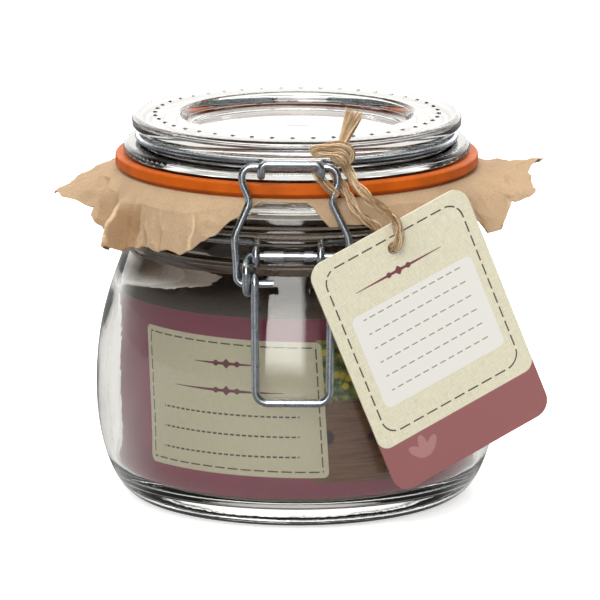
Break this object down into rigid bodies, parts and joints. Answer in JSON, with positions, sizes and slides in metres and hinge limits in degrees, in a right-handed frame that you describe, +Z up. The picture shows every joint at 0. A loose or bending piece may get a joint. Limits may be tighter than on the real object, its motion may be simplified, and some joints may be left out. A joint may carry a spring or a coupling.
{
  "type": "preserving jar",
  "caption": "Closed round glass jar with a wire-hinged glass lid, wire clasp, seal, paper skirt, card sleeve inside and a gift tag on twine.",
  "frame": {"origin": "centre of the base ring, on the surface that the jar stands on", "axes": "+Z up along the jar's axis; the clasp faces -Y and the lid's hinge is on +Y; +X is to the right as the clasp is looked at"},
  "size_m": [0.1284, 0.1139, 0.1091],
  "materials": {
    "clear_glass": "clear pressed glass, smooth",
    "lid_glass": "clear pressed glass, smooth",
    "seal": "matt orange natural rubber",
    "kraft_paper": "light brown kraft paper",
    "sleeve_card": "thin printed card, satin",
    "wire": "bright drawn stainless wire",
    "tube": "thin bright metal tube",
    "tag_card": "printed card, matt",
    "twine": "natural jute twine"
  },
  "bodies": {
    "jar": {"jar_body": "clear_glass", "neck_wire": "wire", "card_sleeve": "sleeve_card", "paper_skirt": "kraft_paper"},
    "lid": {"lid": "lid_glass", "lid_wire": "wire", "seal_ring": "seal"},
    "lever": {"lever_wire": "wire", "axle_sleeve_left": "tube", "axle_sleeve_right": "tube"},
    "link": {"link_wire": "wire", "twine_knot": "twine"},
    "tag": {"gift_tag": "tag_card", "twine_loop": "twine"}
  },
  "joints": [
    {"name": "lid_hinge", "type": "hinge", "parent": "jar", "child": "lid", "pos_m": [0, 0.0513, 0.0926], "axis": [-1, 0, 0], "range_deg": [0, 100]},
    {"name": "clasp_lever", "type": "hinge", "parent": "jar", "child": "lever", "pos_m": [0, -0.0495, 0.07285], "axis": [-1, 0, 0], "range_deg": [0, 110]},
    {"name": "link_hinge", "type": "hinge", "parent": "lever", "child": "link", "pos_m": [0, -0.0512, 0.066], "axis": [-1, 0, 0], "range_deg": [-92, 0]},
    {"name": "tag_swing", "type": "hinge", "parent": "link", "child": "tag", "pos_m": [0, -0.0484, 0.0958], "axis": [-1, 0, 0], "range_deg": [0, 50], "deforming": ["twine_loop"]}
  ],
  "couplings": [
    {"joint": "link_hinge", "follows": "clasp_lever", "ratio": -0.83},
    {"joint": "tag_swing", "follows": "clasp_lever", "ratio": 0.45}
  ]
}
